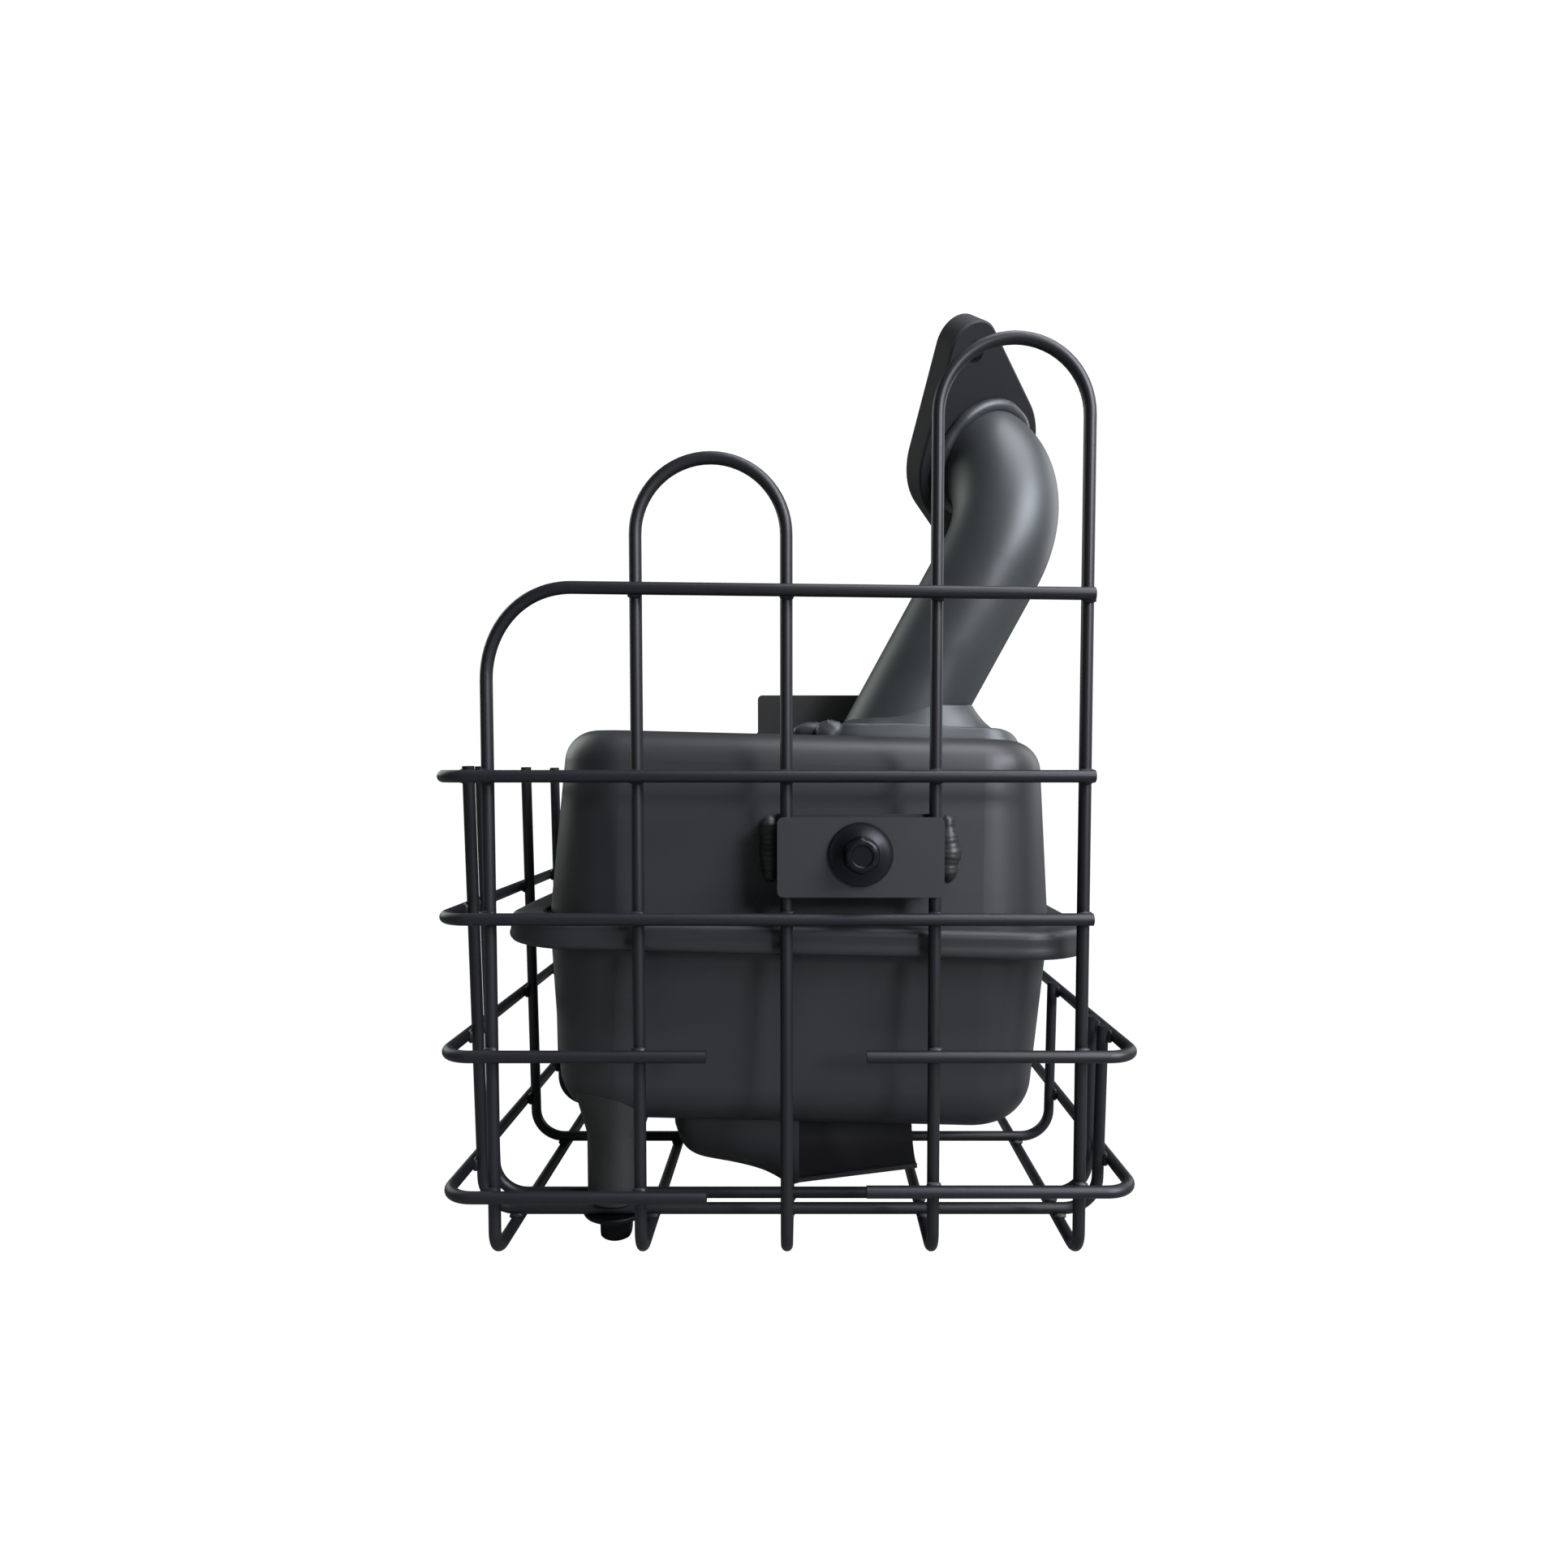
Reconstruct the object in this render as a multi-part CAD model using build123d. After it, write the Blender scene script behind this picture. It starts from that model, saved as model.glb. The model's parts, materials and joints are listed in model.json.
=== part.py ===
"""Small-engine exhaust muffler with its welded wire contact guard.

Frame: +X to the right of the guarded front, +Y back towards the engine,
+Z up, origin under the middle of the bounding box. Millimetres.
"""

import os

from build123d import *

os.makedirs("parts", exist_ok=True)

# ---- frame -------------------------------------------------------------
SHIFT = Vector(0, -65.515, 6.95)   # guard axes -> part frame

# ---- guard wire --------------------------------------------------------
WIRE_D = 4.2                       # coated wire
LAP = WIRE_D + 0.05                # centre distance of two crossing wires
PITCH = 50.0                       # between the upright wires
BEND = 8.0                         # foot bend of the uprights
SIDE_LEFT = -116.4                 # centres of the side runs of the rails
SIDE_RIGHT = 118.2
RAIL_BEND = 10.0
GUARD_BACK = 143.0                 # where side rails and floor wires end
RAIL_END = 102.0                   # cut end of the one-sided rails
RAIL_1_Z = 227.5
RAIL_1_DROP = 2.0
RAIL_2_Z = 165.8
RAIL_3_Z = 118.2
RAIL_4_Z = 71.9
RAIL_5_LEFT_Z = 23.7
RAIL_5_RIGHT_Z = 25.7
RAIL_GAP = 27.0                    # half the gap in the two lowest rails
SHORT_HOOP_Z = 272.7
TALL_HOOP_Z = 311.4
U_FRONT_Y = 24.6
U_SECOND_Y = 37.4
U_MIDDLE_Y = 92.5
U_REAR_Y = 137.5
U_LEAN = 0.055                     # the U wires lean forward, mm per mm of height
U_BEND = 12.0
U_LEFT_TOP = RAIL_2_Z + 3.5
U_RIGHT_TOP = RAIL_4_Z + 4.0
CORNER_BEND = 30.0                 # shoulder where upright 1 becomes rail 1

# ---- muffler body ------------------------------------------------------
BODY_X = 4.0
BODY_Y = 70.0
HALF_W = 95.0                      # at the seam
HALF_D = 55.5
PLAN_R = 30.0
SHEET = 1.6
DRAFT = 4.6                        # degrees, both halves narrow off the seam
SEAM_Z = 109.4
TOP_Z = 181.0
BOTTOM_Z = 35.5
BODY_TILT = 1.4                    # degrees, the whole box falls to the right
TOP_R = 12.0
BOTTOM_R = 18.0
FLANGE_W = 11.2
FLANGE_R = 28.0                    # corner of the hem in plan
BAND_H = 10.2
BAND_T = 1.8
BAND_LIP = 6.0
INLET_X = 40.6
INLET_R = 27.0
INLET_BORE_R = 25.5
OUTLET_X = 6.0
OUTLET_Y = 51.0
OUTLET_R = 14.0

# ---- outlet deflector --------------------------------------------------
SCOOP_Y = 51.0
SCOOP_NOSE = [                     # x, half width, depth below the shell
    (-44.4, 7.0, 8.0),
    (-42.8, 10.5, 12.0),
    (-37.3, 14.0, 18.4),
    (-26.5, 16.0, 21.1),
    (-17.4, 17.0, 22.9),
    (-8.4, 18.0, 25.8),
    (-2.0, 18.8, 29.5),
    (4.0, 19.0, 30.3),
]
SCOOP_END = (50.3, 19.0, 24.2)
SCOOP_LIP = 46.0                   # where the open front's lower lip stands

# ---- exhaust pipe and port flange --------------------------------------
PIPE_R = 21.2
PIPE_T = 2.0
PIPE_FOOT = Vector(42.8, 69.9, 181.0)
PIPE_DIR = Vector(0.4786, 0.0, 0.8780)
PIPE_RUN = 80.2
PIPE_BEND_R = 45.6
PIPE_BEND_DEG = 74.5
PIPE_BEND_TURN = Vector(-0.626, 0.697, 0.341)   # towards the bend centre
FLANGE_T = 11.2
FLANGE_HUB_R = 30.5
FLANGE_LOBE_R = 11.5
FLANGE_HALF = 44.6
FLANGE_LONG = Vector(0.1849, 0.7036, -0.6861)
STUD_HOLE_R = 4.5
PORT_R = 19.6

# ---- fixings -----------------------------------------------------------
TAB_X0, TAB_X1 = -3.0, 52.5
TAB_Z0, TAB_Z1 = 125.6, 152.2
PLATE = 2.5
BOLT_X, BOLT_Z = 24.7, 140.0
M8_R = 3.95
M8_BORE_R = 4.0
M8_HOLE_R = 4.4
HEX_AF = 12.0
LEG_X, LEG_Y = -64.6, 31.0
LEG_R = 10.5
LEG_BORE_R = 8.5
LEG_FOOT_Z = WIRE_D + LAP + 0.05
TAIL_X0, TAIL_X1 = -14.5, 50.0     # rear tab, partly behind the pipe
TAIL_Y = 102.75
TAIL_HOLE_X = 36.0


def save(name, solid):
    export_step(solid.translate(SHIFT), f"parts/{name}.step")


def cylinder_along(start, direction, length, radius):
    face = Plane(origin=start, z_dir=direction) * Circle(radius)
    return extrude(face, amount=length)


def rod(points, bends, d=WIRE_D):
    """Round wire along straight runs joined by tangent bends."""
    pts = [Vector(*p) for p in points]
    edges = []
    start = pts[0]
    for before, at, after, radius in zip(pts, pts[1:], pts[2:], bends):
        u = (before - at).normalized()
        v = (after - at).normalized()
        half = u.get_angle(v) / 2
        cut = radius / tan_deg(half)
        centre = at + (u + v).normalized() * (radius / sin_deg(half))
        first = at + u * cut
        last = at + v * cut
        middle = centre + (at - centre).normalized() * radius
        edges.append(Edge.make_line(start, first))
        edges.append(Edge.make_three_point_arc(first, middle, last))
        start = last
    edges.append(Edge.make_line(start, pts[-1]))
    return sweep_round(edges, d)


def sin_deg(angle):
    return Vector(1, 0, 0).rotate(Axis.Z, angle).Y


def tan_deg(angle):
    turned = Vector(1, 0, 0).rotate(Axis.Z, angle)
    return turned.Y / turned.X


def sweep_round(edges, d):
    path = Wire(edges)
    face = Plane(origin=path @ 0, z_dir=path % 0) * Circle(d / 2)
    return sweep(face, path=path)


# ---- guard -------------------------------------------------------------
def corner_hoop():
    """Floor wire, upright 1 and rail 1: one wire, stepped out at its shoulder."""
    x = -2 * PITCH
    z = WIRE_D / 2
    shoulder = Vector(x, 0, RAIL_1_Z - CORNER_BEND)
    rail = Vector(x + CORNER_BEND, -LAP, RAIL_1_Z)
    foot = Vector(x, 0, z + BEND)
    heel = Vector(x, BEND, z)
    hollow = BEND * (1 - 0.7071)
    run = RAIL_END - 1 - rail.X
    droop = Vector(0, 0, RAIL_1_DROP)
    edges = [
        Edge.make_line(Vector(x, GUARD_BACK, z), heel),
        Edge.make_three_point_arc(heel, Vector(x, hollow, z + hollow), foot),
        Edge.make_line(foot, shoulder),
        Edge.make_bezier(
            shoulder,
            shoulder + Vector(0, 0, 17),
            rail - Vector(17, 0, -17 * RAIL_1_DROP / run),
            rail,
        ),
        Edge.make_line(rail, Vector(RAIL_END - 1, -LAP, RAIL_1_Z) - droop),
    ]
    return sweep_round(edges, WIRE_D)


def hoop(x_left, top):
    """Two uprights joined by a half-round arch, both ending as floor wires."""
    z = WIRE_D / 2
    x_right = x_left + PITCH
    r = PITCH / 2
    spring = top - r - WIRE_D / 2
    hollow = BEND * (1 - 0.7071)
    edges = [
        Edge.make_line(Vector(x_left, GUARD_BACK, z), Vector(x_left, BEND, z)),
        Edge.make_three_point_arc(
            Vector(x_left, BEND, z),
            Vector(x_left, hollow, z + hollow),
            Vector(x_left, 0, z + BEND),
        ),
        Edge.make_line(Vector(x_left, 0, z + BEND), Vector(x_left, 0, spring)),
        Edge.make_three_point_arc(
            Vector(x_left, 0, spring),
            Vector(x_left + r, 0, spring + r),
            Vector(x_right, 0, spring),
        ),
        Edge.make_line(Vector(x_right, 0, spring), Vector(x_right, 0, z + BEND)),
        Edge.make_three_point_arc(
            Vector(x_right, 0, z + BEND),
            Vector(x_right, hollow, z + hollow),
            Vector(x_right, BEND, z),
        ),
        Edge.make_line(Vector(x_right, BEND, z), Vector(x_right, GUARD_BACK, z)),
    ]
    return sweep_round(edges, WIRE_D)


def u_wire(y):
    """Side upright, floor cross wire and the shorter right upright."""
    left = SIDE_LEFT + LAP
    right = SIDE_RIGHT - LAP
    z = WIRE_D / 2 + LAP
    points = [
        (left, y - U_LEAN * (U_LEFT_TOP - z), U_LEFT_TOP),
        (left, y, z),
        (right, y, z),
        (right, y - U_LEAN * (U_RIGHT_TOP - z), U_RIGHT_TOP),
    ]
    return rod(points, [U_BEND, U_BEND])


def rail(z, x_from, x_side):
    """Rail from a cut end across the front, round one corner and back."""
    points = [
        (x_from, -LAP, z),
        (x_side, -LAP, z),
        (x_side, GUARD_BACK, z),
    ]
    return rod(points, [RAIL_BEND])


def guard_tab():
    """Plate across two uprights with the hole for the guard bolt."""
    width = TAB_X1 - TAB_X0
    height = TAB_Z1 - TAB_Z0
    centre = Vector((TAB_X0 + TAB_X1) / 2, -WIRE_D / 2 - 0.05, (TAB_Z0 + TAB_Z1) / 2)
    face = Plane(origin=centre, x_dir=(1, 0, 0), z_dir=(0, -1, 0)) * RectangleRounded(width, height, 2)
    plate = extrude(face, amount=PLATE)
    drill = cylinder_along((BOLT_X, -20, BOLT_Z), (0, 1, 0), 40, M8_HOLE_R)
    return plate - drill


# ---- muffler body ------------------------------------------------------
def lean(solid):
    """Turns a body piece about the middle of the seam to the body's own tilt."""
    return solid.rotate(Axis((BODY_X, BODY_Y, SEAM_Z), (0, 1, 0)), BODY_TILT)


def pan(inset, up):
    """Solid form of one pressed half, inset from its outer surface."""
    direction = 1 if up else -1
    height = (TOP_Z - SEAM_Z if up else SEAM_Z - BOTTOM_Z) - inset
    radius = (TOP_R if up else BOTTOM_R) - inset
    outline = RectangleRounded(
        2 * (HALF_W - inset), 2 * (HALF_D - inset), PLAN_R - inset
    )
    base = Plane(
        origin=(BODY_X, BODY_Y, SEAM_Z), x_dir=(1, 0, 0), z_dir=(0, 0, direction)
    )
    form = extrude(base * outline, amount=height + 12, taper=DRAFT)
    lid = Plane(origin=(BODY_X, BODY_Y, SEAM_Z + direction * height))
    form = split(form, bisect_by=lid, keep=Keep.BOTTOM if up else Keep.TOP)
    end = form.faces().sort_by(Axis.Z)[-1 if up else 0]
    return lean(fillet(end.edges(), radius))


def seam_plate(z_low, z_high, grow):
    outline = RectangleRounded(
        2 * (HALF_W + grow), 2 * (HALF_D + grow), FLANGE_R - FLANGE_W + grow
    )
    return extrude(
        Plane(origin=(BODY_X, BODY_Y, z_low)) * outline, amount=z_high - z_low
    )


def seam_levels():
    """Undersides and tops of the clamped stack: lower, baffle, upper."""
    low = SEAM_Z - BAND_H / 2 + BAND_T + 0.05
    return low, SEAM_Z - 0.5, SEAM_Z + 0.5, SEAM_Z + BAND_H / 2 - BAND_T - 0.05


def seam_band():
    """Rolled hem that closes over both flanges all the way round."""
    low = SEAM_Z - BAND_H / 2
    high = SEAM_Z + BAND_H / 2
    outer = seam_plate(low, high, FLANGE_W)
    rims = outer.edges().filter_by(GeomType.LINE, reverse=True)
    rims = rims + outer.edges().filter_by(GeomType.LINE).filter_by(
        lambda e: abs((e @ 0).Z - (e @ 1).Z) < 0.01
    )
    outer = fillet(rims, 1.7)
    cavity = seam_plate(low + BAND_T, high - BAND_T, FLANGE_W - BAND_T)
    mouth = seam_plate(low - 1, high + 1, FLANGE_W - BAND_LIP)
    return lean(outer - cavity - mouth)


def upper_shell(upper_form, bore):
    _, _, z0, z1 = seam_levels()
    flange = seam_plate(z0, z1, FLANGE_W - BAND_T - 0.1)
    shell = upper_form + lean(flange)
    shell = shell - pan(SHEET, True)
    below = lean(seam_plate(z0 - 30, z0, 30))
    return shell - below - bore


def lower_shell(lower_form, outlet):
    z0, z1, _, _ = seam_levels()
    flange = seam_plate(z0, z1, FLANGE_W - BAND_T - 0.1)
    shell = lower_form + lean(flange)
    shell = shell - pan(SHEET, False)
    above = lean(seam_plate(z1, z1 + 30, 30))
    return shell - above - outlet


def baffle_plate():
    """Divider clamped in the seam, drilled beside the inlet tube."""
    _, z0, z1, _ = seam_levels()
    plate = seam_plate(z0 + 0.05, z1 - 0.05, FLANGE_W - BAND_T - 0.1)
    holes = GridLocations(11, 11, 5, 7)
    drills = Plane(origin=(BODY_X - 50, BODY_Y, z0 - 5)) * holes * Cylinder(3, 30)
    return lean(plate - drills)


def inlet_tube():
    """Perforated tube under the pipe, standing on the baffle."""
    z0 = seam_levels()[2]
    height = TOP_Z - 3.6 - z0
    column = cylinder_along((INLET_X, BODY_Y, z0), (0, 0, 1), height, INLET_R)
    bore = cylinder_along((INLET_X, BODY_Y, z0 - 1), (0, 0, 1), 95, INLET_BORE_R)
    tube = column - bore
    for row in range(4):
        for turn in range(6):
            place = Location((INLET_X, BODY_Y, z0 + 13 + 11 * row))
            place = place * Rotation(0, 0, 60 * turn + 30 * (row % 2))
            drill = Cylinder(3, 40, align=(Align.CENTER, Align.CENTER, Align.MIN))
            tube = tube - place * Rotation(0, 90, 0) * drill
    return lean(tube)


def outlet_tube():
    """Perforated tube that leads the gas down through the lower shell."""
    low = BOTTOM_Z - 3
    tube = cylinder_along((OUTLET_X, OUTLET_Y, low), (0, 0, 1), 58, OUTLET_R - 0.1)
    bore = cylinder_along((OUTLET_X, OUTLET_Y, low - 1), (0, 0, 1), 60, OUTLET_R - SHEET)
    tube = tube - bore
    for row in range(3):
        for turn in range(3):
            place = Location((OUTLET_X, OUTLET_Y, low + 20 + 11 * row))
            place = place * Rotation(0, 0, 60 * turn + 30 * (row % 2))
            tube = tube - place * Rotation(0, 90, 0) * Cylinder(2.5, 60)
    return lean(tube)


def oval(station, inset):
    """Elliptical section of the deflector, square to X."""
    x, half_width, depth = station
    plane = Plane(origin=(x, SCOOP_Y, BOTTOM_Z), x_dir=(0, 1, 0), z_dir=(1, 0, 0))
    return plane * Ellipse(half_width - inset, depth - inset)


def scoop_form(inset):
    """Blunt nose that flares to its mouth, and a duct that grows shallower."""
    nose = loft([oval(station, inset) for station in SCOOP_NOSE])
    duct = loft([oval(SCOOP_NOSE[-1], inset), oval(SCOOP_END, inset)], ruled=True)
    return nose + duct


def outlet_deflector(lower_form):
    """Scoop welded under the outlet, open to the front and at its right end."""
    cap = Location((SCOOP_NOSE[0][0] + SHEET / 2 - 1, SCOOP_Y, BOTTOM_Z)) * Box(SHEET + 2, 60, 60)
    scoop = scoop_form(0) - (scoop_form(SHEET) - cap)
    above = Location((0, SCOOP_Y, BOTTOM_Z + 26)) * Box(140, 90, 40)
    x0, x1 = SCOOP_NOSE[-1][0], SCOOP_END[0]
    window = Location(((x0 + x1 + 2) / 2, SCOOP_LIP - 20, BOTTOM_Z - 15)) * Box(x1 - x0 + 2, 40, 50)
    return scoop - above - window - lower_form


# ---- pipe --------------------------------------------------------------
def pipe_end():
    """Centre and direction at the port end of the pipe."""
    turn = (PIPE_BEND_TURN - PIPE_DIR * PIPE_BEND_TURN.dot(PIPE_DIR)).normalized()
    start = PIPE_FOOT + PIPE_DIR * PIPE_RUN
    spin = Axis(start + turn * PIPE_BEND_R, PIPE_DIR.cross(turn))
    arm = turn * -PIPE_BEND_R
    free = Vector(*arm).rotate(Axis((0, 0, 0), spin.direction), PIPE_BEND_DEG)
    half = Vector(*arm).rotate(Axis((0, 0, 0), spin.direction), PIPE_BEND_DEG / 2)
    heading = PIPE_DIR.rotate(Axis((0, 0, 0), spin.direction), PIPE_BEND_DEG)
    return start, spin.position + half, spin.position + free, heading


def pipe_solid(radius, back):
    start, middle, end, _ = pipe_end()
    edges = [
        Edge.make_line(PIPE_FOOT - PIPE_DIR * back, start),
        Edge.make_three_point_arc(start, middle, end),
    ]
    return sweep_round(edges, 2 * radius)


def header_pipe():
    pipe = pipe_solid(PIPE_R, 20) - pipe_solid(PIPE_R - PIPE_T, 20)
    floor = Location((40, 70, TOP_Z - 3.5 - 50)) * Box(200, 200, 100)
    return pipe - floor


def base_plate(upper_form, bore):
    """Stiffening pad between the shell's top and the pipe."""
    outline = RectangleRounded(100, 60, 25)
    pad = extrude(Plane(origin=(47, 70, TOP_Z - 9)) * outline, amount=15, taper=28)
    top = pad.faces().sort_by(Axis.Z)[-1]
    pad = fillet(top.edges(), 2.5)
    return pad - upper_form - bore


def pipe_collar(bore):
    """Ring weld that joins the leaning pipe to its pad."""
    foot = PIPE_FOOT + PIPE_DIR * 2
    ring = cylinder_along(foot, PIPE_DIR, 7.5, PIPE_R + 3.4)
    ring = fillet(ring.faces().sort_by(Axis.Z)[-1].edges(), 2.8)
    floor = Location((47, 70, TOP_Z + 6.05 - 50)) * Box(200, 200, 100)
    return ring - floor - bore


def exhaust_flange():
    """Thick two-stud plate that bolts to the exhaust port."""
    _, _, end, heading = pipe_end()
    plane = Plane(origin=end + heading * 0.05, x_dir=FLANGE_LONG, z_dir=heading)
    lobes = [Pos(s * FLANGE_HALF, 0) * Circle(FLANGE_LOBE_R) for s in (-1, 1)]
    outline = make_hull((Sketch() + lobes + Circle(FLANGE_HUB_R)).edges())
    plate = extrude(plane * outline, amount=FLANGE_T)
    ends = plate.faces().sort_by(Axis(end, heading))
    plate = chamfer(ends[0].edges() + ends[-1].edges(), 0.8)
    for s in (-1, 1):
        centre = end + FLANGE_LONG * (s * FLANGE_HALF) - heading * 10
        plate = plate - cylinder_along(centre, heading, 40, STUD_HOLE_R)
    return plate - cylinder_along(end - heading * 10, heading, 40, PORT_R)


def flange_weld():
    """Fillet weld round the pipe at the back of the flange."""
    _, _, end, heading = pipe_end()
    foot = end - heading * 4
    cone = Solid.make_cone(PIPE_R + 0.6, PIPE_R + 4.4, 4, Plane(origin=foot, z_dir=heading))
    return Part() + cone - pipe_solid(PIPE_R + 0.05, 0)


# ---- brackets and fasteners --------------------------------------------
def front_bracket(upper_form):
    """Hat bracket on the shell's front that carries the guard bolt."""
    y0 = WIRE_D / 2 + 0.05
    x0, x1 = TAB_X0, TAB_X1 + 1
    z_mid = BOLT_Z
    hat = Location(((x0 + x1) / 2, y0 + 10, z_mid)) * Box(x1 - x0, 20, 26)
    hat = fillet(hat.edges().filter_by(Axis.Z).group_by(Axis.Y)[0], 4)
    inner = Location(((x0 + x1) / 2, y0 + PLATE + 10, z_mid))
    hollow = inner * Box(x1 - x0 - 2 * PLATE, 20, 30)
    hollow = fillet(hollow.edges().filter_by(Axis.Z).group_by(Axis.Y)[0], 2)
    drill = cylinder_along((BOLT_X, -20, BOLT_Z), (0, 1, 0), 60, M8_HOLE_R)
    return hat - hollow - drill - upper_form


def bracket_weld(x, upper_form, bracket):
    """Bead down one leg of the bracket."""
    bead = Location((x, 17, BOLT_Z)) * Cylinder(3.4, 26)
    bead = fillet(bead.edges(), 2.6)
    return bead - upper_form - bracket


def hex_prism(af, height):
    return extrude(RegularPolygon(af / 2, 6, major_radius=False), amount=height)


def weld_nut():
    y0 = WIRE_D / 2 + 0.05 + PLATE
    place = Plane(origin=(BOLT_X, y0 + 0.02, BOLT_Z), x_dir=(1, 0, 0), z_dir=(0, 1, 0))
    nut = hex_prism(13, 6.5) - Cylinder(M8_BORE_R, 40)
    return place * nut


def flange_bolt(flange_r, flange_h, head_h, shank):
    """Hex flange bolt, shank along -Z from the origin, head above it."""
    skirt = Solid.make_cone(flange_r, HEX_AF / 2 + 1.2, flange_h - 1.4)
    disc = Cylinder(flange_r, 1.4, align=(Align.CENTER, Align.CENTER, Align.MIN))
    crown = Location((0, 0, flange_h - 1.5)) * hex_prism(HEX_AF, head_h)
    top = flange_h - 1.5 + head_h
    tip_r = HEX_AF / 2 - 0.9
    crown = crown & (Part() + Solid.make_cone(tip_r + 1.6 * top, tip_r, top))
    stem = Location((0, 0, 0.5 - shank / 2)) * Cylinder(M8_R, shank + 1)
    stem = chamfer(stem.edges().sort_by(Axis.Z)[0], 0.9)
    return Part() + disc + Location((0, 0, 1.4)) * skirt + crown + stem


def guard_bolt():
    y0 = -WIRE_D / 2 - 0.05 - PLATE - 0.02
    place = Plane(origin=(BOLT_X, y0, BOLT_Z), x_dir=(1, 0, 0), z_dir=(0, -1, 0))
    return place * flange_bolt(10.65, 4.2, 5.6, 17.8)


def leg_tube(lower_form):
    """Support leg: blind tube that widens sideways to its weld on the shell's corner."""
    tube = cylinder_along((LEG_X, LEG_Y, LEG_FOOT_Z), (0, 0, 1), 46, LEG_R)
    neck = Plane(origin=(LEG_X, LEG_Y, 33)) * Circle(LEG_R)
    brow = Plane(origin=(LEG_X, LEG_Y, 50)) * Ellipse(LEG_R + 5, LEG_R + 0.1)
    bore = cylinder_along((LEG_X, LEG_Y, 0), (0, 0, 1), 32, LEG_BORE_R)
    return tube + loft([neck, brow]) - bore - lower_form


def leg_bush():
    """Threaded bush pressed into the leg's lower end."""
    bush = cylinder_along((LEG_X, LEG_Y, LEG_FOOT_Z), (0, 0, 1), 13, LEG_BORE_R - 0.05)
    bore = cylinder_along((LEG_X, LEG_Y, 0), (0, 0, 1), 60, M8_BORE_R)
    return bush - bore


def leg_bolt():
    z0 = WIRE_D / 2 + LAP - WIRE_D / 2 - 0.05
    place = Plane(origin=(LEG_X, LEG_Y, z0), x_dir=(1, 0, 0), z_dir=(0, 0, -1))
    return place * flange_bolt(12.2, 6.0, 6.65, 15)


def rear_bracket(upper_form, pad):
    """Drilled tab standing on the back of the shell's top."""
    width = TAIL_X1 - TAIL_X0
    x_mid = (TAIL_X0 + TAIL_X1) / 2
    foot = Location((x_mid, TAIL_Y - 3.75, TOP_Z + 1)) * Box(width, 10, PLATE * 2)
    tab = Location((x_mid, TAIL_Y, TOP_Z + 9)) * Box(width, PLATE, 22.4)
    tab = fillet(tab.edges().filter_by(Axis.Y).group_by(Axis.Z)[-1], 2)
    drill = cylinder_along((TAIL_HOLE_X, 80, TOP_Z + 11), (0, 1, 0), 60, STUD_HOLE_R)
    return foot + tab - drill - upper_form - pad


def main():
    upper_form = pan(0, True)
    lower_form = pan(0, False)
    bore = pipe_solid(PIPE_R + 0.05, 30)
    outlet = lean(cylinder_along((OUTLET_X, OUTLET_Y, 0), (0, 0, 1), 60, OUTLET_R))
    bracket = front_bracket(upper_form)
    save("corner_hoop", corner_hoop())
    save("short_hoop", hoop(-PITCH, SHORT_HOOP_Z))
    save("tall_hoop", hoop(PITCH, TALL_HOOP_Z))
    save("u_wire_front", u_wire(U_FRONT_Y))
    save("u_wire_second", u_wire(U_SECOND_Y))
    save("u_wire_middle", u_wire(U_MIDDLE_Y))
    save("u_wire_rear", u_wire(U_REAR_Y))
    save("rail_upper", rail(RAIL_2_Z, RAIL_END, SIDE_LEFT))
    save("rail_seam", rail(RAIL_3_Z, RAIL_END, SIDE_LEFT))
    save("rail_low_left", rail(RAIL_4_Z, -RAIL_GAP, SIDE_LEFT))
    save("rail_low_right", rail(RAIL_4_Z, RAIL_GAP, SIDE_RIGHT))
    save("rail_floor_left", rail(RAIL_5_LEFT_Z, -RAIL_GAP, SIDE_LEFT))
    save("rail_floor_right", rail(RAIL_5_RIGHT_Z, RAIL_GAP, SIDE_RIGHT))
    save("guard_tab", guard_tab())
    save("upper_shell", upper_shell(upper_form, bore))
    save("lower_shell", lower_shell(lower_form, outlet))
    save("seam_band", seam_band())
    save("baffle_plate", baffle_plate())
    save("inlet_tube", inlet_tube())
    save("outlet_tube", outlet_tube())
    save("outlet_deflector", outlet_deflector(lower_form))
    save("header_pipe", header_pipe())
    pad = base_plate(upper_form, bore)
    save("pipe_base", pad)
    save("pipe_collar", pipe_collar(bore))
    save("exhaust_flange", exhaust_flange())
    save("flange_weld", flange_weld())
    save("rear_bracket", rear_bracket(upper_form, pad))
    save("front_bracket", bracket)
    save("bracket_weld_left", bracket_weld(TAB_X0 - 2.5, upper_form, bracket))
    save("bracket_weld_right", bracket_weld(TAB_X1 + 4, upper_form, bracket))
    save("weld_nut", weld_nut())
    save("guard_bolt", guard_bolt())
    save("leg_tube", leg_tube(lower_form))
    save("leg_bush", leg_bush())
    save("leg_bolt", leg_bolt())


main()
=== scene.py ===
"""Looks of a small-engine exhaust muffler in its welded wire guard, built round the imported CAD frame."""

import json
import math

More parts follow.
